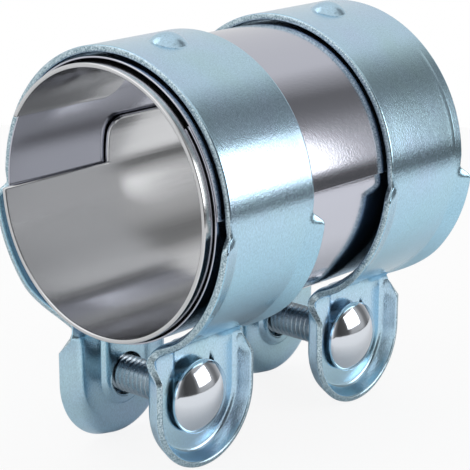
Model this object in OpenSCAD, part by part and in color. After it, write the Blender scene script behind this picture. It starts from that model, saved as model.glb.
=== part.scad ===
// Exhaust clamp with two bolted bands on a slotted sleeve, for joining two pipe ends.
// The bore runs along Y with its front end at -Y. The bolt heads face +X and the ears hang down.

/* [Sleeve] */
// Diameter of the bore that takes the pipe ends
bore_d = 55; // [45:0.5:70]
// Length of the sleeve
sleeve_len = 84; // [82:1:110]
// Thickness of the sleeve's sheet
sleeve_t = 1; // [0.8:0.1:1.4]
// Width of the stepped slot
slot_w = 16; // [10:0.5:20]
// Sideways step of the slot between its front and rear half
slot_jog = 9.7; // [6:0.1:12]
// Direction of the slot's middle, in degrees from +X towards +Z
slot_angle = 155.5; // [130:0.5:190]
// Distance of the step in front of the sleeve's middle
step_ahead = 12.2; // [0:0.1:20]
// Space between the ends of the two tongues, along the bore
tongue_gap = 0.6; // [0.4:0.1:2]
// Rounding of the tongues' corners
tongue_r = 2.6; // [1:0.1:4]

/* [Cover sheet] */
// Length of the cover sheet
cover_len = 79; // [78:1:81]
// Thickness of the cover sheet
cover_t = 0.4; // [0.3:0.05:0.6]
// Space between the sleeve and the cover sheet
cover_gap = 0.3; // [0.2:0.05:0.5]
// Direction of the cover sheet's outer edge, in degrees from +X towards +Z
seam_angle = 3; // [-10:1:20]
// How far the cover sheet's ends overlap, in degrees
lap_angle = 38; // [20:1:60]

/* [Bands] */
// Width of a band over its plain part
band_w = 25.6; // [24:0.1:28]
// Distance between the middles of the two bands
band_pitch = 51; // [48:0.5:52]
// Thickness of the band's sheet
band_t = 1.6; // [1.4:0.1:2]
// Space between the cover sheet's outer end and the bands
seat_gap = 0.3; // [0.2:0.05:0.5]
// How far the loose bands hang below the bore's axis
band_sag = 0.2; // [0:0.05:0.2]
// Where the flared lips start, in degrees below the horizontal
lip_start = 2; // [0:1:10]
// Angle that the lips are flared by
lip_angle = 20; // [12:1:40]
// Length of the lips' straight edge
lip_len = 3; // [1.5:0.1:3.6]
// Direction of the dimple, in degrees from +X towards +Z
dimple_angle = 83; // [70:1:110]
// Width of the dimple on top of each band
dimple_d = 8; // [6:0.1:10]
// Height of the dimple above the band
dimple_h = 1.9; // [1.2:0.1:2.2]

/* [Ears] */
// Space between the two ears of a band, at the flat part round the bolt
ear_gap = 17; // [14:0.5:20]
// Width of an ear over its rim
ear_w = 29.6; // [28:0.1:31.5]
// Radius of the bend between the band and an ear, at the middle of the sheet
bend_r = 3.4; // [3:0.1:5]
// Distance of the bolt below the band's outer face
bolt_drop = 10; // [9:0.5:14]
// Width of the pocket round the bolt, over its sloped sides
pocket_w = 13.6; // [12.8:0.1:14]
// Depth of the pocket
pocket_depth = 1; // [0.6:0.1:1.5]
// Length of the rim's straight wall past its fold
rim_len = 2.6; // [1.5:0.1:4]
// Side of the square hole for the bolt's neck
neck_hole = 8.5; // [8.3:0.1:9]
// Diameter of the bolt's hole in the ear on the nut's side
shank_hole = 9.4; // [8.6:0.1:10]

/* [Bolts] */
// Diameter of the bolt
bolt_d = 7.9; // [7.9:0.01:8.1]
// Length of the bolt below its head
bolt_len = 34; // [33:1:45]
// Diameter of the head
head_d = 15.9; // [15:0.1:16.4]
// Height of the head
head_h = 3.7; // [3.3:0.1:4.5]
// Height of the head's straight edge
head_edge = 0.7; // [0.4:0.1:1]
// How far the loose bolts' heads stand off the ears
head_gap = 0.9; // [0:0.1:0.9]
// Length of the square neck
neck_len = 3.6; // [3.3:0.1:4.5]
// Chamfer at the bolt's tip
tip_chamfer = 0.9; // [0.5:0.1:1.2]

/* [Nuts and washers] */
// Width of the nut across its flats
nut_af = 13; // [12:0.5:14]
// Height of the nut
nut_h = 6.5; // [5:0.1:8]
// Space between the bolt and the nut's bore, on the radius
thread_gap = 0.05; // [0.02:0.01:0.08]
// How far the nuts are turned from flat side up, in degrees
nut_turn = 12; // [0:1:59]
// Diameter of the washer
washer_d = 16; // [14:0.1:16.2]
// Thickness of the washer
washer_t = 1.6; // [1:0.1:2]
// Space between the bolt and the washer's hole, on the radius
washer_play = 0.25; // [0.2:0.05:0.4]
// Space between the ear, the washer and the nut, along the bolt
stack_gap = 0.1; // [0.05:0.05:0.2]

/* [Hidden] */
$fn = 96;
eps = 0.01;
over = 1;
quarter = 90;

// Radii from the bore outwards
bore_r = bore_d / 2;
sleeve_r = bore_r + sleeve_t;
cover_r = sleeve_r + cover_gap;
lap_play = 0.05;
lap_lift = cover_t + lap_play;
lap_r = cover_r + lap_lift + cover_t;
band_ri = lap_r + seat_gap + band_sag;
band_ro = band_ri + band_t;
band_rm = band_ri + band_t / 2;

// The sheet of the flared lower parts and ears reaches into the ring, thinner by skin on both faces
skin = 0.02;
ear_t = band_t - 2 * skin;

// Ears, as seen on the +X side. plate_x is the middle of the sheet beside the pocket
plate_x = ear_gap / 2 + pocket_depth + ear_t / 2;
shelf_x = plate_x + ear_t / 2;
bend_angle = -acos((plate_x + bend_r) / (band_rm + bend_r));
bend_z = (band_rm + bend_r) * sin(bend_angle) - band_sag;
bolt_z = -band_sag - band_ro - bolt_drop;
fold_len = 2.4;
rim_fold_r = fold_len / (PI / 2);
rim_start = ear_w / 2 - ear_t / 2 - rim_fold_r;
edge_len = 0.5;
lip_root = band_w / 2 - fold_len - edge_len;
pocket_slope = 1.2;
pocket_edge = pocket_w / 2 - pocket_slope;

function unit(v) = v / norm(v);
function side(v) = [-v[1], v[0]];

// A bent line moved sideways by d, with mitred corners
function moved(p, d) = let (n = len(p)) [for (i = [0:n - 1])
    let (a = unit(p[max(i, 1)] - p[max(i, 1) - 1]),
         b = unit(p[min(i, n - 2) + 1] - p[min(i, n - 2)]))
    p[i] + d * (side(a) + side(b)) / (1 + a * b)];

// Middle line of the band's sheet on one side, from the pocket's edge outwards:
// pocket floor, shelf, then a fold of the given angle and a straight wall
fold_steps = 3;
function half_line(pocket, start, fold, wall) = let (r = fold_len / (fold * PI / 180)) concat(
    [[pocket_edge, -pocket], [pocket_edge + pocket_slope, 0], [start, 0]],
    [for (i = [1:fold_steps]) let (a = fold * i / fold_steps) [start + r * sin(a), r * (1 - cos(a))]],
    [[start + r * sin(fold) + wall * cos(fold), r * (1 - cos(fold)) + wall * sin(fold)]]);

// Closed section of a sheet of thickness t, right across the band
function section(t, pocket, start, fold, wall) = let (
    h = half_line(pocket, start, fold, wall),
    line = concat([for (i = [len(h) - 1:-1:0]) [-h[i][0], h[i][1]]], h),
    top = moved(line, t / 2),
    low = moved(line, -t / 2))
    concat(low, [for (i = [len(top) - 1:-1:0]) top[i]]);

// One lower half of the band follows its sheet. q runs from 0 at the ring's end, with the lips widening
// from ring_end on, over 1 where the bend into the ear starts, 2 where it ends and rim_top where the
// ear's rim has its full height, to 3 at the bolt
ring_end = 0.005;
rim_top = 2.33;
steps = [-0.04, ring_end, 0.06, 0.12, 0.21, 0.3, 0.4, 0.5, 0.6, 0.7, 0.8, 0.9, 1, 1.2, 1.4, 1.6, 1.8, 2,
         rim_top, 3];
end_steps = 9;

function normal_turn(q) = q < 1 ? q * (bend_angle + lip_start) - lip_start : q < 2 ? bend_angle * (2 - q) : 0;
function path(q) = let (a = normal_turn(q))
    q < 1 ? [band_rm * cos(a), band_rm * sin(a) - band_sag]
    : q < 2 ? [(band_rm + bend_r) * cos(bend_angle) - bend_r * cos(a), bend_z - bend_r * sin(a)]
    : [plate_x, bend_z + (bolt_z - bend_z) * (q - 2)];
function fold_at(q) = lookup(q, [[ring_end, 0.5], [0.12, lip_angle], [0.6, lip_angle], [1, 22], [1.5, 55], [2, quarter]]);
function wall_at(q) = lookup(q, [[ring_end, edge_len - skin], [0.12, lip_len], [0.6, lip_len], [1, 0.5], [2, 0.7],
                                 [rim_top, rim_len]]);
function start_at(q) = lookup(q, [[1, lip_root], [2, rim_start]]);
function pocket_at(q) = lookup(q, [[1, 0], [1.8, pocket_depth]]);
function station(q) = let (p = path(q), a = normal_turn(q))
    [for (s = section(ear_t, pocket_at(q), start_at(q), fold_at(q), wall_at(q)))
        [p[0] + s[1] * cos(a), s[0], p[1] + s[1] * sin(a)]];

// Points across the ear's round end, with each half turned down by a about the bolt's line
function end_station(a) = [for (s = section(ear_t, pocket_depth, rim_start, quarter, rim_len))
    [plate_x + s[1], s[0] * cos(a), bolt_z - abs(s[0]) * sin(a)]];

// Closed mesh through rings of points that run across the sheet and back, with the last ring folded
// onto itself
module loft(rings) {
    n = len(rings[0]);
    half = n / 2;
    last = len(rings) - 1;
    function point(k, i) = k * n + (k < last || i % half < half / 2 ? i : i + half - 1 - 2 * (i % half));
    function triangle(a, b, c) = a == b || b == c || a == c ? [] : [[a, b, c]];
    polyhedron(
        points = [for (r = rings) each r],
        faces = concat(
            [[for (i = [0:n - 1]) i]],
            [for (k = [0:last - 1], i = [0:n - 1]) let (
                j = (i + 1) % n,
                c = point(k + 1, i))
                each concat(triangle(point(k, j), point(k, i), c), triangle(point(k, j), c, point(k + 1, j)))]));
}

module lower_half() {
    loft(concat([for (q = steps) station(q)], [for (i = [1:end_steps]) end_station(quarter * i / end_steps)]));
}

// A dome of width d and height h that stands on top of a tube of radius r
module dome(r, d, h) {
    ball_r = (pow(d / 2, 2) + h * h) / (2 * h);
    intersection() {
        translate([0, 0, r + h - ball_r]) sphere(r = ball_r);
        translate([0, 0, r - band_t / 2]) cylinder(d = d + 2 * over, h = h + band_t);
    }
}

module at_dimple() translate([0, 0, -band_sag]) rotate([0, quarter - dimple_angle, 0]) children();

module band() {
    hole_len = 3 * band_t + 2 * pocket_depth;
    difference() {
        union() {
            translate([0, 0, -band_sag]) rotate([90, 0, 0]) rotate([0, 0, -lip_start])
                rotate_extrude(angle = 180 + 2 * lip_start)
                    translate([band_ri, -band_w / 2]) square([band_t, band_w]);
            at_dimple() dome(band_ro, dimple_d, dimple_h);
            lower_half();
            mirror([1, 0, 0]) lower_half();
        }
        at_dimple() dome(band_ri, dimple_d - 2 * band_t, dimple_h);
        translate([plate_x, 0, bolt_z]) cube([hole_len, neck_hole, neck_hole], center = true);
        translate([-plate_x, 0, bolt_z]) rotate([0, 90, 0]) cylinder(d = shank_hole, h = hole_len, center = true);
    }
}

module tube(r, t, length) {
    rotate([90, 0, 0]) difference() {
        cylinder(r = r + t, h = length, center = true);
        cylinder(r = r, h = length + 2 * over, center = true);
    }
}

// One half of the stepped slot, seen from outside. Its far corner is rounded by the tongue
module slot_half(length) {
    translate([-slot_w / 2, 0]) square([slot_w, length]);
    difference() {
        translate([slot_w / 2 - eps, 0]) square([tongue_r + eps, tongue_r]);
        translate([slot_w / 2 + tongue_r, tongue_r]) circle(r = tongue_r);
    }
}

module slot_outline() {
    reach = sleeve_len / 2 + over;
    front = reach - step_ahead + tongue_gap / 2;
    rear = reach + step_ahead + tongue_gap / 2;
    translate([-slot_jog / 2, -step_ahead + tongue_gap / 2]) mirror([0, 1]) slot_half(front);
    translate([slot_jog / 2, -step_ahead - tongue_gap / 2]) mirror([1, 0]) slot_half(rear);
}

module inner_sleeve() {
    color("#9fa0a6") difference() {
        tube(bore_r, sleeve_t, sleeve_len);
        rotate([0, quarter - slot_angle, 0]) translate([0, 0, bore_r / 2]) linear_extrude(bore_r) slot_outline();
    }
}

// Inner radius of the wound cover sheet, u degrees from its outer end
function wound_r(u) = cover_r + lap_lift * (1 - lookup(u, [[lap_angle, 0], [lap_angle + 150, 1]]));

module cover_sheet() {
    turn = [for (u = [0:4:360 + lap_angle]) u];
    outline = concat(
        [for (u = turn) (wound_r(u) + cover_t) * [cos(seam_angle + u), sin(seam_angle + u)]],
        [for (i = [len(turn) - 1:-1:0]) wound_r(turn[i]) * [cos(seam_angle + turn[i]), sin(seam_angle + turn[i])]]);
    color("#b4aeb9") rotate([90, 0, 0]) linear_extrude(cover_len, center = true) polygon(outline);
}

module bolt() {
    cap_h = head_h - head_edge;
    ball_r = (pow(head_d / 2, 2) + cap_h * cap_h) / (2 * cap_h);
    translate([shelf_x + head_gap, 0, bolt_z]) rotate([0, 90, 0]) {
        intersection() {
            cylinder(d = head_d, h = head_h);
            translate([0, 0, head_h - ball_r]) sphere(r = ball_r);
        }
        translate([-bolt_d / 2, -bolt_d / 2, -neck_len]) cube([bolt_d, bolt_d, neck_len]);
        translate([0, 0, tip_chamfer - bolt_len]) cylinder(d = bolt_d, h = bolt_len - tip_chamfer);
        translate([0, 0, -bolt_len]) cylinder(d1 = bolt_d - 2 * tip_chamfer, d2 = bolt_d, h = tip_chamfer);
    }
}

washer_x = -shelf_x - stack_gap;
nut_x = washer_x - washer_t - stack_gap;

module washer() {
    translate([washer_x, 0, bolt_z]) rotate([0, -90, 0]) difference() {
        cylinder(d = washer_d, h = washer_t);
        translate([0, 0, -over]) cylinder(d = bolt_d + 2 * washer_play, h = washer_t + 2 * over);
    }
}

module nut() {
    corner_d = nut_af / cos(30);
    cut = 30;
    bevel = (corner_d - nut_af) / 2 * tan(cut);
    bore = bolt_d + 2 * thread_gap;
    translate([nut_x, 0, bolt_z]) rotate([0, -90, 0]) rotate([0, 0, nut_turn]) difference() {
        intersection() {
            cylinder(d = corner_d, h = nut_h, $fn = 6);
            union() {
                cylinder(d1 = nut_af, d2 = corner_d, h = bevel);
                translate([0, 0, bevel]) cylinder(d = corner_d, h = nut_h - 2 * bevel);
                translate([0, 0, nut_h - bevel]) cylinder(d1 = corner_d, d2 = nut_af, h = bevel);
            }
        }
        translate([0, 0, -over]) cylinder(d = bore, h = nut_h + 2 * over);
    }
}

module at_front() translate([0, -band_pitch / 2, 0]) children();
module at_rear() translate([0, band_pitch / 2, 0]) children();

module front_band() { color("#a3c6d9") at_front() band(); }
module rear_band() { color("#a3c6d9") at_rear() band(); }
module front_bolt() { color("#c9ccd2") at_front() bolt(); }
module rear_bolt() { color("#c9ccd2") at_rear() bolt(); }
module front_washer() { color("#b9c4cc") at_front() washer(); }
module rear_washer() { color("#b9c4cc") at_rear() washer(); }
module front_nut() { color("#b9c4cc") at_front() nut(); }
module rear_nut() { color("#b9c4cc") at_rear() nut(); }

inner_sleeve();
cover_sheet();
front_band();
rear_band();
front_bolt();
rear_bolt();
front_washer();
rear_washer();
front_nut();
rear_nut();
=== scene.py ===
# Sleeve clamp for exhaust pipe: stainless sleeve and cover sheet, two pressed bands, two bolts.
import math

import bmesh
import bpy
from mathutils import Matrix, Vector


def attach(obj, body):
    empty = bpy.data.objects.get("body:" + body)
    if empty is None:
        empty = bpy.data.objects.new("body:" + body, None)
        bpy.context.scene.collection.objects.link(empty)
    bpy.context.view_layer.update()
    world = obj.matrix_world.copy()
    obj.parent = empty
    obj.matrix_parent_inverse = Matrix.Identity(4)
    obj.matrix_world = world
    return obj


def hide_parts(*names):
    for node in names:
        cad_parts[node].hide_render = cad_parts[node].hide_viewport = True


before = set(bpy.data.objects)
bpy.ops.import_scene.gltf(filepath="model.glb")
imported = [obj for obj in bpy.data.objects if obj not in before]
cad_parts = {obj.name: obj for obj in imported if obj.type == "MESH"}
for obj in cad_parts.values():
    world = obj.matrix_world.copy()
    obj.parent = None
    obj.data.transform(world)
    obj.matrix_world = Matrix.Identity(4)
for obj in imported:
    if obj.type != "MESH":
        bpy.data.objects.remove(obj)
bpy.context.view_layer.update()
print("packed frame loaded")

# Shapes are built in mm and scaled to metres as each piece is finished
mm = 0.001
axisX = Vector((1, 0, 0))
smoothUpTo = 38  # degrees, a steeper edge of a piece is drawn sharp
mergeWithin = 0.002  # mm
weldWithin = 0.001  # mm


def ease(t):  # smooth step from 0 to 1
    t = min(max(t, 0.0), 1.0)
    return t * t * (3 - 2 * t)


def between(table, value, soft=True):  # value read from a table of (place, size) rows
    if value <= table[0][0]:
        return table[0][1]
    for (a, low), (b, high) in zip(table, table[1:]):
        if value <= b:
            t = (value - a) / (b - a)
            return low + (high - low) * (ease(t) if soft else t)
    return table[-1][1]


def finishPiece(bm, name, body, material):
    bmesh.ops.recalc_face_normals(bm, faces=bm.faces)
    bmesh.ops.scale(bm, vec=(mm, mm, mm), verts=bm.verts)
    mesh = bpy.data.meshes.new(name)
    bm.to_mesh(mesh)
    bm.free()
    mesh.materials.append(material)
    mesh.polygons.foreach_set("use_smooth", [True] * len(mesh.polygons))
    mesh.set_sharp_from_angle(angle=math.radians(smoothUpTo))
    piece = bpy.data.objects.new(name, mesh)
    bpy.context.scene.collection.objects.link(piece)
    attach(piece, body)
    return piece


def weighEdges(bm, weightAt):
    # weightAt gives the share of the full blunting that a sheet's free edge gets at a place
    weight = bm.edges.layers.float.new("bevel_weight_edge")
    for edge in bm.edges:
        if edge.is_boundary:
            edge[weight] = weightAt((edge.verts[0].co + edge.verts[1].co) / 2)


def sheetModifiers(piece, look):  # sheet thickness, then its blunted edges
    wall = piece.modifiers.new("wall", "SOLIDIFY")
    wall.thickness = look["thickness"] * mm
    wall.offset = 0
    blunt = piece.modifiers.new("bluntEdge", "BEVEL")
    blunt.width = look["blunt"] * mm
    blunt.segments = look["bluntSteps"]
    blunt.limit_method = "WEIGHT"
    blunt.use_clamp_overlap = False
    blunt.harden_normals = True
    return wall


# Materials


def srgb(code):  # "#rrggbb" to a linear colour
    parts = [int(code[i:i + 2], 16) / 255 for i in (1, 3, 5)]
    return tuple(p / 12.92 if p <= 0.04045 else ((p + 0.055) / 1.055) ** 2.4 for p in parts) + (1.0,)


def addNode(tree, kind, settings):
    # A setting is a property, an input's value, or the socket that feeds that input
    node = tree.nodes.new(kind)
    for key, value in settings.items():
        if isinstance(value, bpy.types.NodeSocket):
            tree.links.new(value, node.inputs[key])
        elif isinstance(key, int) or key in node.inputs:
            node.inputs[key].default_value = value
        else:
            setattr(node, key, value)
    return node


def newMaterial(name):
    material = bpy.data.materials.new(name)
    material.use_nodes = True
    tree = material.node_tree
    tree.nodes.clear()
    place = addNode(tree, "ShaderNodeTexCoord", {})
    return material, tree, place.outputs["Object"]


def ramp(tree, source, stops):
    node = addNode(tree, "ShaderNodeValToRGB", {"Fac": source})
    elements = node.color_ramp.elements
    while len(elements) < len(stops):
        elements.new(0.5)
    for element, (at, colour) in zip(elements, stops):
        element.position = at
        element.color = colour if isinstance(colour, tuple) else (colour, colour, colour, 1)
    return node.outputs["Color"]


def noise(tree, place, size, detail):  # size of one patch in mm
    node = addNode(tree, "ShaderNodeTexNoise", {
        "Vector": place, "Scale": 1 / (size * mm), "Detail": detail})
    return node.outputs["Fac"]


def stretched(tree, place, scale):
    node = addNode(tree, "ShaderNodeVectorMath", {"operation": "MULTIPLY", 0: place, 1: scale})
    return node.outputs["Vector"]


def mapped(tree, source, low, high, sourceLow=0.0, sourceHigh=1.0):
    node = addNode(tree, "ShaderNodeMapRange", {
        "Value": source, "From Min": sourceLow, "From Max": sourceHigh, "To Min": low, "To Max": high})
    return node.outputs["Result"]


def bumped(tree, source, height, under=None):  # relief of this height in mm, over a coarser one
    node = addNode(tree, "ShaderNodeBump", {"Height": source, "Strength": 1.0, "Distance": height * mm})
    if under is not None:
        tree.links.new(under, node.inputs["Normal"])
    return node.outputs["Normal"]


def times(tree, first, second):
    return addNode(tree, "ShaderNodeMath", {"operation": "MULTIPLY", 0: first, 1: second}).outputs["Value"]


def metalOutput(tree, colour, roughness, normal):
    shader = addNode(tree, "ShaderNodeBsdfPrincipled", {
        "Metallic": 1.0, "Base Color": colour, "Roughness": roughness, "Normal": normal})
    addNode(tree, "ShaderNodeOutputMaterial", {"Surface": shader.outputs["BSDF"]})


zincLook = {
    "tint": "#c0dff2", "greenTint": "#bddeea", "lilacTint": "#c2dbf3",
    "tintPatch": 16.0, "tintSpan": (0.3, 0.5, 0.72),  # mm of one patch, and each tint's place in the noise
    # painted shade: a darker, bluer tint for the band's lower sides, standing in for the tinted light
    # bounced between the metal's faces there
    "paintedShadeTint": "#a0cde2",
    "paintedShadeAt": [(-33, 0), (-28, 0.8), (-12, 0.8), (4, 0)],  # share of the painted shade tint by height in mm
    "heightSpan": 50.0,  # mm, above and below the bore's axis
    "grain": 0.27, "grainStretch": 0.5,  # mm across; half the scale along Z draws it out to twice that
    "roughness": (0.15, 0.25), "grainHeight": 0.022,
    "wave": 9.0, "waveHeight": 0.02,  # mm, slow waves left by the press
    "fleck": 0.16, "fleckSpan": (0.35, 0.65),  # how much the grain darkens the plating, and from where
}


def makeZinc():
    # Pressed steel with bright zinc plating and a blue passivation: a pale blue metal that mirrors
    # softly, its grain sparkling where a reflection turns dark
    material, tree, place = newMaterial("blueZincPlatedSteel")
    tints = [srgb(zincLook[key]) for key in ("greenTint", "tint", "lilacTint")]
    patches = noise(tree, place, zincLook["tintPatch"], 2.0)
    tint = ramp(tree, patches, list(zip(zincLook["tintSpan"], tints)))
    parts = addNode(tree, "ShaderNodeSeparateXYZ", {"Vector": place})
    # painted shade: the darker, bluer tint is laid over the lower sides by height, in place of the tinted
    # bounce light there
    span = zincLook["heightSpan"]
    level = mapped(tree, parts.outputs["Z"], 0.0, 1.0, -span * mm, span * mm)
    paintedShade = ramp(tree, level, [((z + span) / (2 * span), share) for z, share in zincLook["paintedShadeAt"]])
    tint = addNode(tree, "ShaderNodeMix", {
        "data_type": "RGBA", 0: paintedShade, 6: tint, 7: srgb(zincLook["paintedShadeTint"])}).outputs[2]
    grainPlace = stretched(tree, place, (1, 1, zincLook["grainStretch"]))
    grain = noise(tree, grainPlace, zincLook["grain"], 3.0)
    fleck = mapped(tree, grain, 1 - zincLook["fleck"], 1.0, *zincLook["fleckSpan"])
    tint = addNode(tree, "ShaderNodeVectorMath", {
        "operation": "SCALE", 0: tint, "Scale": fleck}).outputs["Vector"]
    waves = bumped(tree, noise(tree, place, zincLook["wave"], 1.0), zincLook["waveHeight"])
    metalOutput(tree, tint, mapped(tree, grain, *zincLook["roughness"]),
                bumped(tree, grain, zincLook["grainHeight"], waves))
    return material


edgeLook = {
    "darkTint": "#8ba4b0", "lightTint": "#d6e8f0", "tintSpan": (0.4, 0.66),
    "grain": 0.32, "roughness": (0.2, 0.4), "grainHeight": 0.03,  # mm, the torn grain that shearing leaves
}


def makeShearedEdge():
    # The cut edge of the plated sheet: greyer and torn, so that dark and bright flecks stand close by
    material, tree, place = newMaterial("shearedZincEdge")
    grain = noise(tree, place, edgeLook["grain"], 3.0)
    tints = [srgb(edgeLook["darkTint"]), srgb(edgeLook["lightTint"])]
    flecks = ramp(tree, grain, list(zip(edgeLook["tintSpan"], tints)))
    metalOutput(tree, flecks, mapped(tree, grain, *edgeLook["roughness"]),
                bumped(tree, grain, edgeLook["grainHeight"]))
    return material


sleeveLook = {
    "tint": "#d0d1d3", "roughness": (0.12, 0.22),
    "line": 0.5,  # mm, spacing of the rolling lines, drawn coarser than real so that they show
    "lineStretch": 40, "lineHeight": 0.0012,
    "flatSpot": 7.0, "flatStretch": 9, "flatHeight": 0.15,  # mm, shallow flats left by the rolls
}
coverLook = {
    "tint": "#c3c5d0", "roughness": (0.09, 0.16),
    "line": 0.4, "lineStretch": 1.5, "lineHeight": 0.01,
    "flatSpot": 11.0, "flatStretch": 9, "flatHeight": 0.03,
}


def makeStainless(name, look):
    # Rolled stainless sheet: a grey mirror blurred along fine rolling lines, with shallow flats
    # from the rolls that bend its reflections. The cover's is thinner, smoother and faintly lilac
    material, tree, place = newMaterial(name)
    lines = noise(tree, stretched(tree, place, (1, 1 / look["lineStretch"], 1)), look["line"], 3.0)
    flats = noise(tree, stretched(tree, place, (1, 1 / look["flatStretch"], 1)), look["flatSpot"], 1.0)
    relief = bumped(tree, flats, look["flatHeight"])
    metalOutput(tree, srgb(look["tint"]), mapped(tree, lines, *look["roughness"]),
                bumped(tree, lines, look["lineHeight"], relief))
    return material


# dent and dentHeight are in mm
headLook = {"tint": "#d8dde4", "roughness": (0.05, 0.12), "dent": 1.6, "dentHeight": 0.008}
threadLook = {"tint": "#bcc8d0", "roughness": (0.18, 0.32), "dent": 0.5, "dentHeight": 0.004}


def makeFastenerSteel(name, look):
    # Plated steel: on the forged heads a hard clear mirror with slight dents, on threads, nuts and
    # washers a duller and bluer one
    material, tree, place = newMaterial(name)
    dents = noise(tree, place, look["dent"], 2.0)
    metalOutput(tree, srgb(look["tint"]), mapped(tree, dents, *look["roughness"]),
                bumped(tree, dents, look["dentHeight"]))
    return material


zinc = makeZinc()
shearedEdge = makeShearedEdge()
stainless = makeStainless("rolledStainlessSheet", sleeveLook)
coverSteel = makeStainless("brightStainlessSheet", coverLook)
brightSteel = makeFastenerSteel("nickelBrightSteel", headLook)
threadSteel = makeFastenerSteel("zincPlatedFastenerSteel", threadLook)
print("materials made")

# Sleeve and cover sheet, each a flat blank rolled up. Angles are degrees from +X towards +Z

sleeve = {
    "radius": 28.0, "thickness": 1.0, "length": 84.0, "blunt": 0.4, "bluntSteps": 4,
    "slotAt": 155.5, "slotWidth": 16.0, "slotJog": 9.7,
    "stepAhead": 12.2, "tongueGap": 1.1, "tongueRound": 4.0, "roundSteps": 10,
}
cover = {
    "radius": 29.0, "thickness": 0.4, "length": 79.0, "blunt": 0.17, "bluntSteps": 3,
    "seamAt": 3.0, "lap": 38.0,
    "lapLift": 0.45, "lapFade": 150.0,  # mm that the lap stands off, and degrees until it lies close
}
rollStep = 2.0  # degrees between rows of faces


def rolledSheet(outline, roundCorners, radiusAt):
    # outline is the flat blank's corners, in degrees round the pipe and mm along it
    bm = bmesh.new()
    corners = [bm.verts.new((u, y, 0)) for u, y in outline]
    bm.faces.new(corners)
    scale = math.radians(1) * radiusAt(0)  # mm of blank for each degree
    bmesh.ops.scale(bm, vec=(scale, 1, 1), verts=bm.verts)
    for index in roundCorners:
        bmesh.ops.bevel(bm, geom=[corners[index]], offset=sleeve["tongueRound"],
                        segments=sleeve["roundSteps"], profile=0.5, affect="VERTICES", material=-1)
    first, last = min(u for u, y in outline), max(u for u, y in outline)
    u = first + rollStep
    while u < last - rollStep / 2:
        bmesh.ops.bisect_plane(bm, geom=bm.verts[:] + bm.edges[:] + bm.faces[:],
                               plane_co=(u * scale, 0, 0), plane_no=(1, 0, 0), dist=1e-5)
        u += rollStep
    for vert in bm.verts:
        u, y = vert.co.x / scale, vert.co.y
        angle, radius = math.radians(u), radiusAt(u)
        vert.co = (radius * math.cos(angle), y, radius * math.sin(angle))
    weighEdges(bm, lambda place: 1)
    return bm


def makeSleeve():
    def swing(offset):  # degrees that a side of the slot lies off its middle
        return math.degrees(math.asin(offset / sleeve["radius"]))

    half = sleeve["length"] / 2
    wide = swing((sleeve["slotWidth"] + sleeve["slotJog"]) / 2)
    narrow = swing((sleeve["slotWidth"] - sleeve["slotJog"]) / 2)
    frontTop, rearTop = sleeve["slotAt"] - narrow, sleeve["slotAt"] - wide
    frontLow, rearLow = sleeve["slotAt"] + wide - 360, sleeve["slotAt"] + narrow - 360
    frontEnd = -sleeve["stepAhead"] - sleeve["tongueGap"] / 2
    rearEnd = -sleeve["stepAhead"] + sleeve["tongueGap"] / 2
    outline = [(frontLow, -half), (frontTop, -half), (frontTop, frontEnd), (rearTop, frontEnd),
               (rearTop, half), (rearLow, half), (rearLow, rearEnd), (frontLow, rearEnd)]
    bm = rolledSheet(outline, (2, 6), lambda u: sleeve["radius"])
    piece = finishPiece(bm, "innerSleeve", "clamp", stainless)
    sheetModifiers(piece, sleeve)
    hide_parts("inner_sleeve")


def makeCover():
    half = cover["length"] / 2
    start, lapEnd = cover["seamAt"], cover["seamAt"] + cover["lap"]
    end = lapEnd + 360
    lift = [(lapEnd, cover["lapLift"]), (lapEnd + cover["lapFade"], 0)]
    outline = [(start, -half), (end, -half), (end, half), (start, half)]
    bm = rolledSheet(outline, (), lambda u: cover["radius"] + between(lift, u, soft=False))
    piece = finishPiece(bm, "coverSheet", "clamp", coverSteel)
    sheetModifiers(piece, cover)
    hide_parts("cover_sheet")


makeSleeve()
makeCover()
print("sleeve and cover sheet rolled")

# Bands. The place along a band is q: below 0 on its plain top, 0 where the lips start, 1 where the
# outward bend starts, 2 where the flat ear starts and 3 at the bolt

band = {
    "width": 25.6, "pitch": 51.0, "radius": 30.95, "thickness": 1.56, "sag": 0.2,
    "blunt": 0.6, "bluntSteps": 4,
    "bluntShare": [(-37.0, 1), (-34.5, 0.35), (-28.5, 0.35), (-26.0, 1)],  # by height, less in the bend
    "holeShare": 0.25, "holeReach": 7.0,  # blunting at the bolt's holes, up to this far from its line
    "edgeRow": 0.7,  # mm, the outermost row of faces, a little wider than the blunted edge
    "lipStart": 2.0, "lipAngle": 17.5, "foldLength": 2.4, "creaseLength": 1.0, "lipLength": 3.0,
    "edgeLength": 0.5,
    "dimpleWidth": 7.2, "dimpleHeight": 1.9, "dimpleAt": 83.0,
    "plateX": 10.28, "earWidth": 29.6, "bendRadius": 3.4, "boltZ": -41.95,
    "pocketEdge": 5.3, "pocketSlope": 1.7, "pocketDepth": 1.0,
    "floorKept": 0.3,  # mm of the pocket's floor that stays inside its slope when the hole is made
    "rimInset": 3.6, "rimLength": 3.1, "rimTop": 2.33, "rimAngle": 68.0,
    "neckHole": 8.5, "neckRound": 1.0, "shankHole": 9.4,
    "scoreHeight": 0.06, "scoreFrom": 3.0, "scoreTo": 46.0,  # mm and degrees, line left by the press
}
bendReach = band["radius"] + band["bendRadius"]
bendAngle = -math.degrees(math.acos((band["plateX"] + band["bendRadius"]) / bendReach))
bendZ = bendReach * math.sin(math.radians(bendAngle)) - band["sag"]
lipRoot = band["width"] / 2 - band["foldLength"] - band["edgeLength"]
rimRoot = band["earWidth"] / 2 - band["rimInset"]
acrossCounts = (10, 6, 3, 13)  # rows over the pocket's floor, its slope, the shelf, and the fold and edge
onePlane = 0.004  # mm, how flat the pocket's floor is taken to be
onRow = 0.01  # mm, how close to a row a point has to lie to belong to it


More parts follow.
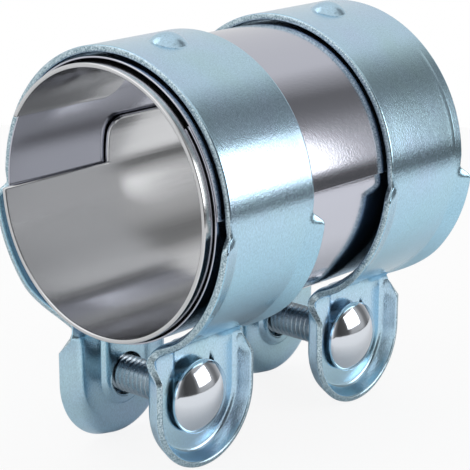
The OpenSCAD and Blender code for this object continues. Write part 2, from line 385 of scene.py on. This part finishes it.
def acrossLine(q):
    # Half of the sheet's middle line across the band, as (distance from the middle, height). From
    # start on it is folded up over the length bent, and it ends after foldLength and wall
    pocket = band["pocketDepth"] * between([(1, 0), (1.8, 1)], q)
    start = between([(1, lipRoot), (2, rimRoot)], q)
    fold = math.radians(between([
        (0, 0.5), (0.08, band["lipAngle"]), (0.6, band["lipAngle"]), (1, 22), (1.6, 30), (2, 42), (2.2, 64),
        (band["rimTop"], band["rimAngle"])], q, soft=q < 1))
    wall = between([
        (-0.05, band["edgeLength"]), (0, 0.2), (0.08, band["lipLength"]), (0.6, band["lipLength"]),
        (1, 0.5), (2, 0.7), (band["rimTop"], band["rimLength"])], q, soft=q < 2)
    bent = between([(0.6, band["creaseLength"]), (1, band["foldLength"])], q)  # length of sheet in the fold
    slopeFrom, slope = band["pocketEdge"], band["pocketSlope"]
    slopeTo = slopeFrom + slope
    floorCount, slopeCount, shelfCount, foldCount = acrossCounts
    line = [slopeFrom * i / floorCount for i in range(floorCount)]
    line += [slopeFrom + slope * i / slopeCount for i in range(slopeCount)]
    line += [slopeTo + (start - slopeTo) * i / shelfCount for i in range(shelfCount)]
    line = [(y, -pocket * (1 - ease((y - slopeFrom) / slope))) for y in line]
    foldRadius = bent / fold
    reach = band["foldLength"] + wall
    for i in range(foldCount + 1):
        s = (reach - band["edgeRow"]) * i / (foldCount - 1) if i < foldCount else reach
        a = min(s, bent) / foldRadius
        past = max(s - bent, 0)
        line.append((start + foldRadius * math.sin(a) + past * math.cos(a),
                     foldRadius * (1 - math.cos(a)) + past * math.sin(a)))
    return line


def pathPoint(q):
    # Point of the band's middle line at q, and the direction of its outward normal
    if q < 1:
        turn = q * (bendAngle + band["lipStart"]) - band["lipStart"]
        a = math.radians(turn)
        return Vector((band["radius"] * math.cos(a), 0, band["radius"] * math.sin(a) - band["sag"])), turn
    if q < 2:
        turn = bendAngle * (2 - q)
        a, b = math.radians(turn), math.radians(bendAngle)
        return Vector((bendReach * math.cos(b) - band["bendRadius"] * math.cos(a), 0,
                       bendZ - band["bendRadius"] * math.sin(a))), turn
    return Vector((band["plateX"], 0, bendZ + (band["boltZ"] - bendZ) * (q - 2))), 0.0


def stationPoints(q, hinge):
    # Points right across the sheet at q. Past the bolt each half is turned down by hinge
    origin, turn = pathPoint(q)
    a, h = math.radians(turn), math.radians(hinge)
    normal = Vector((math.cos(a), 0, math.sin(a)))
    half = acrossLine(q)
    points = []
    for y, height in [(-y, height) for y, height in reversed(half[1:])] + half:
        point = origin + normal * height
        point.y = y * math.cos(h)
        point.z -= abs(y) * math.sin(h)
        points.append(point)
    return points


def dimpleLift(angle, y):  # height of the round dimple over the band's top
    across = band["radius"] * math.radians(angle - band["dimpleAt"])
    d, reach = math.hypot(across, y), band["dimpleWidth"] / 2
    ball = (reach ** 2 + band["dimpleHeight"] ** 2) / (2 * band["dimpleHeight"])
    return math.sqrt(ball ** 2 - d ** 2) - (ball - band["dimpleHeight"]) if d < reach else 0.0


def bandStations():
    # (q, hinge) along the +X half, from the top of the ring to the end of the ear. The rows stand
    # closer over the dimple, where the lips start and round the bend
    turns = [90 - i for i in range(20)] + [70 - 2.5 * i for i in range(28)]
    ringSpan = -(bendAngle + band["lipStart"])
    qs = [-(turn + band["lipStart"]) / ringSpan for turn in turns]
    qs += [0.015 * i for i in range(10)] + [0.16 + 0.03 * i for i in range(28)]
    qs += [1 + 0.1 * i for i in range(11)] + [2.08, 2.16, 2.24, band["rimTop"], 2.4, 2.5, 2.65, 2.82]
    return [(q, 0.0) for q in qs] + [(3.0, 90 * i / 24) for i in range(25)]


def earHole(bm, side, yMiddle):
    # The pocket's flat floor is taken out round the bolt and filled again up to the bolt's hole
    z = band["boltZ"]
    x = side * (band["plateX"] - band["pocketDepth"])
    reach = band["pocketEdge"] - band["floorKept"]

    def onFloor(v):
        return (abs(v.co.x - x) < onePlane and v.co.z < z + band["pocketEdge"]
                and math.hypot(v.co.y - yMiddle, min(v.co.z - z, 0)) < reach)

    bmesh.ops.delete(bm, geom=[f for f in bm.faces if all(onFloor(v) for v in f.verts)], context="FACES")
    rim = [e for e in bm.edges if e.is_boundary and all(onFloor(v) for v in e.verts)]
    turned = Matrix.Translation((x, yMiddle, z)) @ Matrix.Rotation(math.pi / 2, 4, "Y")
    if side > 0:
        ring = bmesh.ops.create_circle(bm, segments=4, radius=band["neckHole"] / math.sqrt(2),
                                       matrix=turned @ Matrix.Rotation(math.pi / 4, 4, "Z"))["verts"]
        ring = bmesh.ops.bevel(bm, geom=ring, offset=band["neckRound"], segments=5, profile=0.5,
                               affect="VERTICES", material=-1)["verts"]
    else:
        ring = bmesh.ops.create_circle(bm, segments=48, radius=band["shankHole"] / 2, matrix=turned)["verts"]
    hole = list({e for v in ring for e in v.link_edges})
    bmesh.ops.triangle_fill(bm, edges=rim + hole, use_beauty=True, normal=(1, 0, 0))


def sweepBand(bm):
    # The +X half, a row of edges drawn out from station to station, and then its mirror image
    row = [bm.verts.new() for i in range(2 * sum(acrossCounts) + 1)]
    edges = [bm.edges.new(pair) for pair in zip(row, row[1:])]
    for number, (q, hinge) in enumerate(bandStations()):
        if number:
            made = bmesh.ops.extrude_edge_only(bm, edges=edges)["geom"]
            edges = [g for g in made if isinstance(g, bmesh.types.BMEdge)]
            new = {g for g in made if isinstance(g, bmesh.types.BMVert)}
            row = [next(e.other_vert(v) for e in v.link_edges if e.other_vert(v) in new) for v in row]
        for vert, point in zip(row, stationPoints(q, hinge)):
            vert.co = point
    bmesh.ops.mirror(bm, geom=bm.verts[:] + bm.edges[:] + bm.faces[:], axis="X", merge_dist=weldWithin)
    bmesh.ops.remove_doubles(bm, verts=bm.verts, dist=mergeWithin)


def makeBand(name, node, yMiddle, scored):
    bm = bmesh.new()
    sweepBand(bm)
    for vert in bm.verts:
        a = math.atan2(vert.co.z + band["sag"], vert.co.x)
        angle = math.degrees(a)
        outward = Vector((math.cos(a), 0, math.sin(a)))
        vert.co += dimpleLift(angle, vert.co.y) * outward
        atLip = abs(vert.co.y - lipRoot) < onRow
        if scored and atLip and band["scoreFrom"] < angle < band["scoreTo"]:
            vert.co += band["scoreHeight"] * outward
    bmesh.ops.translate(bm, vec=(0, yMiddle, 0), verts=bm.verts)
    for side in (1, -1):
        earHole(bm, side, yMiddle)

    def bluntShare(place):
        atBolt = math.hypot(place.y - yMiddle, place.z - band["boltZ"]) < band["holeReach"]
        return band["holeShare"] if atBolt else between(band["bluntShare"], place.z)

    weighEdges(bm, bluntShare)
    piece = finishPiece(bm, name, "clamp", zinc)
    piece.data.materials.append(shearedEdge)
    wall = sheetModifiers(piece, band)
    wall.material_offset_rim = 1  # the cut edge takes the second material
    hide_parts(node)


makeBand("frontBand", "front_band", -band["pitch"] / 2, scored=False)
makeBand("rearBand", "rear_band", band["pitch"] / 2, scored=True)
print("bands pressed")

# Bolts, washers and nuts

bolt = {
    "seatX": 11.96, "seatInner": 3.0, "headWidth": 15.9, "headHeight": 3.7, "headEdge": 0.7,
    "underBlunt": (0.12, 0.15), "rimBlunt": (0.2, 0.12),  # mm along the bolt, mm off the radius
    "domeSteps": 24, "domeShare": 0.985,  # the rest of the dome's angle lies in the blunted rim
    "neck": 7.9, "neckLength": 3.6, "neckSunk": 0.1, "neckBlunt": 0.5,
    "length": 34.0, "width": 7.9, "tipChamfer": 0.9,
    "pitch": 1.25, "threadDepth": 0.72, "threadSteps": 40,
    "thread": [(0, 0), (0.2, 0), (0.56, 1), (0.69, 1), (1, 0)],  # share of the pitch, share of the depth
}
nut = {
    "acrossFlats": 13.0, "height": 6.5, "turn": 12.0, "chamfer": 30.0, "faceInset": 0.25,
    "bore": 8.02, "boreLead": (0.4, 0.45),  # mm that the bore's mouth opens out, and how deep
    "blunt": 0.12, "bluntAbove": 24,  # mm, on edges that turn by more than this in degrees
    "steps": 120,
}
washer = {"seatX": -11.06, "width": 16.0, "thickness": 1.6, "hole": 8.4, "gap": 0.1, "blunt": 0.22}


latheSteps = 96


def lathe(bm, profile, centre):
    # profile holds (distance along the bolt, radius); it is spun round the bolt's line
    verts = [bm.verts.new(centre + Vector((x, 0, r))) for x, r in profile]
    edges = [bm.edges.new(pair) for pair in zip(verts, verts[1:])]
    bmesh.ops.spin(bm, geom=verts + edges, cent=centre, axis=axisX, angle=2 * math.pi,
                   steps=latheSteps, use_merge=True)
    bmesh.ops.remove_doubles(bm, verts=bm.verts, dist=weldWithin)


def makeHead(name, node, yMiddle):
    bm = bmesh.new()
    seat, height, edge, radius = bolt["seatX"], bolt["headHeight"], bolt["headEdge"], bolt["headWidth"] / 2
    cap = height - edge
    ball = (radius ** 2 + cap ** 2) / (2 * cap)
    domeAngle = math.asin(radius / ball)
    underLong, underIn = bolt["underBlunt"]
    rimLong, rimIn = bolt["rimBlunt"]
    # the underside and the blunted side, then the dome from its edge to the middle
    profile = [(seat, bolt["seatInner"]), (seat, radius - underIn), (seat + underLong, radius),
               (seat + edge - rimLong, radius), (seat + edge, radius - rimIn)]
    for i in range(1, bolt["domeSteps"] + 1):
        a = domeAngle * (1 - i / bolt["domeSteps"]) * bolt["domeShare"]
        profile.append((seat + height - ball * (1 - math.cos(a)), ball * math.sin(a)))
    lathe(bm, profile, Vector((0, yMiddle, band["boltZ"])))
    head = finishPiece(bm, name, "clamp", brightSteel)
    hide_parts(node)


def addNeck(bm, centre):  # the square neck under the head
    seat, length, sunk, width = (bolt[k] for k in ("seatX", "neckLength", "neckSunk", "neck"))
    neck = bmesh.ops.create_cube(bm, size=1)["verts"]
    bmesh.ops.scale(bm, vec=(length + sunk, width, width), verts=neck)
    bmesh.ops.translate(bm, vec=centre + Vector((seat + (sunk - length) / 2, 0, 0)), verts=neck)
    bmesh.ops.bevel(bm, geom=bm.edges[:], offset=bolt["neckBlunt"], segments=3, profile=0.5, affect="EDGES",
                    material=-1)


def makeShank(name, node, yMiddle):
    # The thread is one turn's profile spun along a screw line, cut flat at the bolt's tip
    bm = bmesh.new()
    centre = Vector((0, yMiddle, band["boltZ"]))
    addNeck(bm, centre)
    pitch, depth, neckEnd = bolt["pitch"], bolt["threadDepth"], bolt["seatX"] - bolt["neckLength"]
    tip, crest = bolt["seatX"] - bolt["length"], bolt["width"] / 2
    turns = math.ceil((bolt["length"] - bolt["neckLength"]) / pitch) + 1
    verts = [bm.verts.new(centre + Vector((tip - pitch + x * pitch, 0, crest - depth + share * depth)))
             for x, share in bolt["thread"]]
    spun = verts + [bm.edges.new(pair) for pair in zip(verts, verts[1:])]
    steps = bolt["threadSteps"]
    for turn in range(turns):
        spun = bmesh.ops.spin(bm, geom=spun, cent=centre, axis=axisX, angle=2 * math.pi, steps=steps,
                              dvec=(pitch / steps, 0, 0))["geom_last"]
    bmesh.ops.remove_doubles(bm, verts=[v for v in bm.verts if v.co.x < neckEnd - 0.01], dist=mergeWithin)
    bmesh.ops.bisect_plane(bm, geom=bm.verts[:] + bm.edges[:] + bm.faces[:], plane_co=(tip, 0, 0),
                           plane_no=(-1, 0, 0), clear_outer=True, dist=1e-4)
    for vert in bm.verts:
        offset = vert.co - centre
        radius = math.hypot(offset.y, offset.z)
        limit = crest - bolt["tipChamfer"] + (vert.co.x - tip)
        if radius > limit and vert.co.x < neckEnd - 1:
            vert.co.y, vert.co.z = centre.y + offset.y * limit / radius, centre.z + offset.z * limit / radius
    end = [e for e in bm.edges if e.is_boundary and all(abs(v.co.x - tip) < weldWithin for v in e.verts)]
    bmesh.ops.holes_fill(bm, edges=end, sides=0)
    shank = finishPiece(bm, name + "Shank", "clamp", threadSteel)
    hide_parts(node)


def makeNut(name, node, yMiddle):
    bm = bmesh.new()
    start = washer["seatX"] - 2 * washer["gap"] - washer["thickness"]
    flat, height, bore = nut["acrossFlats"] / 2, nut["height"], nut["bore"] / 2
    face, slope = flat - nut["faceInset"], math.tan(math.radians(nut["chamfer"]))
    leadOut, leadDeep = nut["boreLead"]
    place = (Matrix.Translation((start, yMiddle, band["boltZ"])) @ Matrix.Rotation(-math.pi / 2, 4, "Y")
             @ Matrix.Rotation(math.radians(nut["turn"]), 4, "Z"))

    def hexRadius(a):
        return flat / math.cos((a + math.pi / 6) % (math.pi / 3) - math.pi / 6)

    # each ring gives (radius, height) by direction, from the bore's outer mouth round to its inner one
    rings = [
        lambda a: (bore, height - leadDeep), lambda a: (bore + leadOut, height), lambda a: (face, height),
        lambda a: (hexRadius(a), height - (hexRadius(a) - face) * slope),
        lambda a: (hexRadius(a), (hexRadius(a) - face) * slope),
        lambda a: (face, 0), lambda a: (bore + leadOut, 0), lambda a: (bore, leadDeep)]
    loops = []
    for ring in rings:
        verts = bmesh.ops.create_circle(bm, segments=nut["steps"], radius=1)["verts"]
        for vert in verts:
            a = math.atan2(vert.co.y, vert.co.x)
            r, z = ring(a)
            vert.co = (r * math.cos(a), r * math.sin(a), z)
        loops.append(list({e for v in verts for e in v.link_edges}))
    for first, second in zip(loops, loops[1:] + loops[:1]):
        bmesh.ops.bridge_loops(bm, edges=first + second)
    bmesh.ops.transform(bm, matrix=place, verts=bm.verts)
    piece = finishPiece(bm, name, node, threadSteel)
    blunt = piece.modifiers.new("bluntEdge", "BEVEL")
    blunt.width = nut["blunt"] * mm
    blunt.segments = 2
    blunt.limit_method = "ANGLE"
    blunt.angle_limit = math.radians(nut["bluntAbove"])
    blunt.harden_normals = True
    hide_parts(node)


def makeWasher(name, node, yMiddle):
    bm = bmesh.new()
    outer, hole = washer["width"] / 2, washer["hole"] / 2
    thickness, blunt = washer["thickness"], washer["blunt"]
    near = blunt * 0.3  # middle point of a rounded edge
    profile = [(0, hole + blunt), (0, outer - blunt), (near, outer - near), (blunt, outer),
               (thickness - blunt, outer), (thickness - near, outer - near), (thickness, outer - blunt),
               (thickness, hole + blunt), (thickness - blunt, hole), (blunt, hole), (0, hole + blunt)]
    lathe(bm, profile, Vector((washer["seatX"] - washer["gap"] - thickness, yMiddle, band["boltZ"])))
    piece = finishPiece(bm, name, node, threadSteel)
    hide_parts(node)


for end, y in (("front", -band["pitch"] / 2), ("rear", band["pitch"] / 2)):
    makeHead(end + "Bolt", end + "_bolt", y)
    makeShank(end + "Bolt", end + "_bolt", y)
    makeWasher(end + "Washer", end + "_washer", y)
    makeNut(end + "Nut", end + "_nut", y)
print("bolts, washers and nuts turned")

# Floor, light and camera. Bearings are degrees from +X towards +Y, heights degrees above the horizon

studio = {
    "floorZ": -56.85, "floorRadius": 300.0,  # mm
    "floorColour": "#f4f4f4", "floorRoughness": 0.9,
    "key": {"at": (0.2687, 0.1437, 0.0755), "size": (0.198, 0.15), "power": 0.26},
    "fill": {"at": (-0.5, -1.2, 1.1), "size": (1.2, 1.2), "power": 3.0},
    "walls": [(0, 0.78), (180, 1)],  # brightness of the room by height
    # the room's darker open side: its brightness by bearing, and where it ends by height
    "openSide": [(-55, 0.85), (-38, 0.25), (-15, 0.06), (8, 0.1), (18, 0.45), (49, 0.55), (54, 0.45),
                 (60, 0.22), (68, 0.18), (78, 0.45), (90, 0.8)],
    "openHeight": [(46, 0), (60, 1)],
    # the dark past the table's edge, by height and by bearing
    "table": [(-4.5, 1), (-1, 0)], "tableSide": [(-60, 0), (-40, 1), (72, 1), (88, 0)], "pastTable": 0.1,
    # a large white softbox on the left, which the bands' front edges and the dimples mirror
    "leftSide": [(-180, 1), (-148, 1), (-138, 0), (174, 0), (180, 1)],
    "leftHeight": [(34, 0), (40, 1), (60, 1), (68, 0)], "leftBox": 1.5,
    "glowSpan": (22.0, 52.0), "glow": 0.8,  # the paper's glow as the metal mirrors it, by mm along X, fading towards the clamp as a painted shadow
    "toLens": 0.88,  # the rest of what the lens sees of the paper is its own shading
}


def makeFloor():
    bm = bmesh.new()
    bmesh.ops.create_circle(bm, cap_ends=True, segments=96, radius=studio["floorRadius"] * mm)
    bmesh.ops.translate(bm, vec=(0, 0, studio["floorZ"] * mm), verts=bm.verts)
    mesh = bpy.data.meshes.new("floor")
    bm.to_mesh(mesh)
    bm.free()
    # Matt white paper: evenly bright to the lens, and it keeps the clamp's soft shadow. To mirror rays it
    # glows, fading towards the clamp as a painted shadow
    material, tree, place = newMaterial("whitePaperSweep")
    paper = addNode(tree, "ShaderNodeBsdfPrincipled", {
        "Base Color": srgb(studio["floorColour"]), "Roughness": studio["floorRoughness"]})
    glow = addNode(tree, "ShaderNodeEmission", {"Color": srgb("#ffffff"), "Strength": 1.0})
    path = addNode(tree, "ShaderNodeLightPath", {})
    parts = addNode(tree, "ShaderNodeSeparateXYZ", {"Vector": place})
    glowFrom, glowTo = studio["glowSpan"]
    # painted shadow: the glow that the metal mirrors fades out towards the clamp along X
    glowPastShadow = mapped(tree, parts.outputs["X"], 0.0, studio["glow"], glowFrom * mm, glowTo * mm)
    mirrored = times(tree, glowPastShadow, path.outputs["Is Glossy Ray"])
    seen = times(tree, path.outputs["Is Camera Ray"], studio["toLens"])
    share = addNode(tree, "ShaderNodeMath", {"operation": "MAXIMUM", 0: mirrored, 1: seen})
    mix = addNode(tree, "ShaderNodeMixShader", {
        "Fac": share.outputs["Value"], 1: paper.outputs["BSDF"], 2: glow.outputs["Emission"]})
    addNode(tree, "ShaderNodeOutputMaterial", {"Surface": mix.outputs["Shader"]})
    mesh.materials.append(material)
    floor = bpy.data.objects.new("floor", mesh)
    bpy.context.scene.collection.objects.link(floor)


def addSoftbox(name, at, size, power):
    light = bpy.data.lights.new(name, "AREA")
    light.shape = "RECTANGLE"
    light.size, light.size_y = size
    light.energy = power
    lamp = bpy.data.objects.new(name, light)
    lamp.location = at
    lamp.rotation_euler = (-Vector(at)).to_track_quat("-Z", "Y").to_euler()
    bpy.context.scene.collection.objects.link(lamp)


def makeWorld():
    world = bpy.data.worlds.new("studio")
    bpy.context.scene.world = world
    world.use_nodes = True
    tree = world.node_tree
    tree.nodes.clear()
    place = addNode(tree, "ShaderNodeTexCoord", {})
    parts = addNode(tree, "ShaderNodeSeparateXYZ", {"Vector": place.outputs["Generated"]})
    height = addNode(tree, "ShaderNodeMath", {"operation": "ARCSINE", 0: parts.outputs["Z"]})
    bearing = addNode(tree, "ShaderNodeMath", {
        "operation": "ARCTAN2", 0: parts.outputs["Y"], 1: parts.outputs["X"]})

    def byDegree(source, stops):  # stops from -180 to 180 degrees
        share = mapped(tree, source.outputs["Value"], 0.0, 1.0, -math.pi, math.pi)
        return ramp(tree, share, [((at + 180) / 360, value) for at, value in stops])

    def blend(share, low, high):
        return addNode(tree, "ShaderNodeMix", {"data_type": "RGBA", 0: share, 6: low, 7: high}).outputs[2]

    def grey(value):
        return (value, value, value, 1)

    openSide = byDegree(bearing, studio["openSide"])
    pastTable = times(tree, byDegree(height, studio["table"]), byDegree(bearing, studio["tableSide"]))
    onLeft = times(tree, byDegree(height, studio["leftHeight"]), byDegree(bearing, studio["leftSide"]))
    walls = byDegree(height, studio["walls"])
    room = blend(byDegree(height, studio["openHeight"]), openSide, walls)
    room = blend(pastTable, room, grey(studio["pastTable"]))
    room = blend(onLeft, room, grey(studio["leftBox"]))
    path = addNode(tree, "ShaderNodeLightPath", {})
    seen = blend(path.outputs["Is Camera Ray"], room, grey(1))
    back = addNode(tree, "ShaderNodeBackground", {"Color": seen})
    addNode(tree, "ShaderNodeOutputWorld", {"Surface": back.outputs["Background"]})


cameraSet = {
    "azimuth": 41.21, "elevation": 16.12, "roll": 0.32,  # degrees
    "distance": 413.4, "side": -0.56, "rise": -14.5,  # mm
    "focalPixels": 1928.85, "imageWidth": 470, "sensorWidth": 36,
}


def makeCamera():
    azimuth, elevation, roll = (math.radians(cameraSet[k]) for k in ("azimuth", "elevation", "roll"))
    back = Vector((math.sin(azimuth) * math.cos(elevation), -math.cos(azimuth) * math.cos(elevation),
                   math.sin(elevation)))
    level = (-back).cross(Vector((0, 0, 1))).normalized()
    upright = level.cross(-back)
    right = level * math.cos(roll) + upright * math.sin(roll)
    up = upright * math.cos(roll) - level * math.sin(roll)
    place = right * cameraSet["side"] + up * cameraSet["rise"] + back * cameraSet["distance"]
    lens = bpy.data.cameras.new("camera")
    lens.sensor_fit = "HORIZONTAL"
    lens.sensor_width = cameraSet["sensorWidth"]
    lens.lens = cameraSet["focalPixels"] * cameraSet["sensorWidth"] / cameraSet["imageWidth"]
    lens.clip_start = 0.01
    camera = bpy.data.objects.new("camera", lens)
    turn = Matrix((right, up, back)).transposed().to_4x4()
    camera.matrix_world = Matrix.Translation(place * mm) @ turn
    bpy.context.scene.collection.objects.link(camera)
    bpy.context.scene.camera = camera


makeFloor()
makeWorld()
addSoftbox("keySoftbox", **studio["key"])
addSoftbox("fillSoftbox", **studio["fill"])
makeCamera()
bpy.context.scene.view_settings.view_transform = "Standard"
print("studio set")
